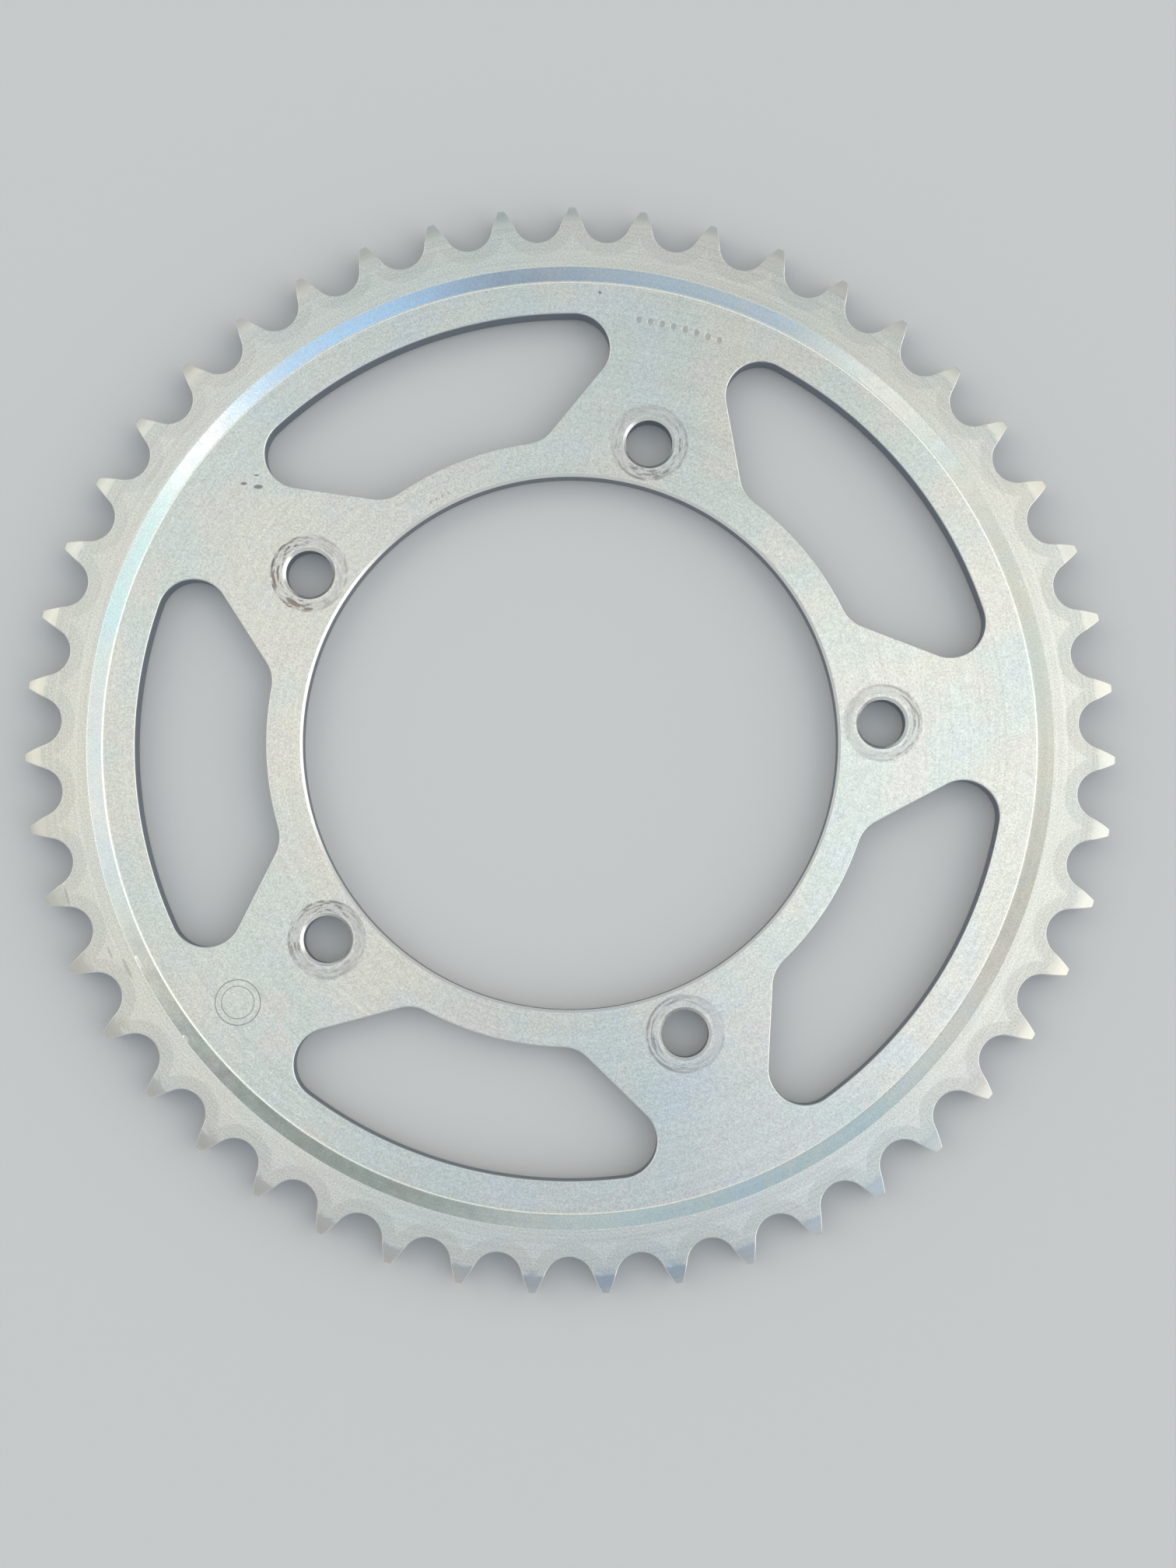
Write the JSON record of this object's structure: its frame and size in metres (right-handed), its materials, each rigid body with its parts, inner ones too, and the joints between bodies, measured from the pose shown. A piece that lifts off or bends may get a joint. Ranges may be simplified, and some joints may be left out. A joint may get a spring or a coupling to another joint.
{
  "type": "rear sprocket",
  "caption": "Flat toothed steel rear chain sprocket for a motorcycle, with a large spigot bore, a bolt circle and lightening windows.",
  "frame": {"origin": "centre of the bore on the plate's mid-plane, which is the chain line", "axes": "+Z along the bore axis, up from the face that the nuts sit on; +X through one bolt hole and the tooth gap in line with it"},
  "size_m": [0.2442, 0.2442, 0.0072],
  "materials": {
    "zinc_plated_steel": "lathe-turned plate with a pale clear zinc plating"
  },
  "bodies": {
    "root": {"sprocket": "zinc_plated_steel"}
  },
  "joints": []
}
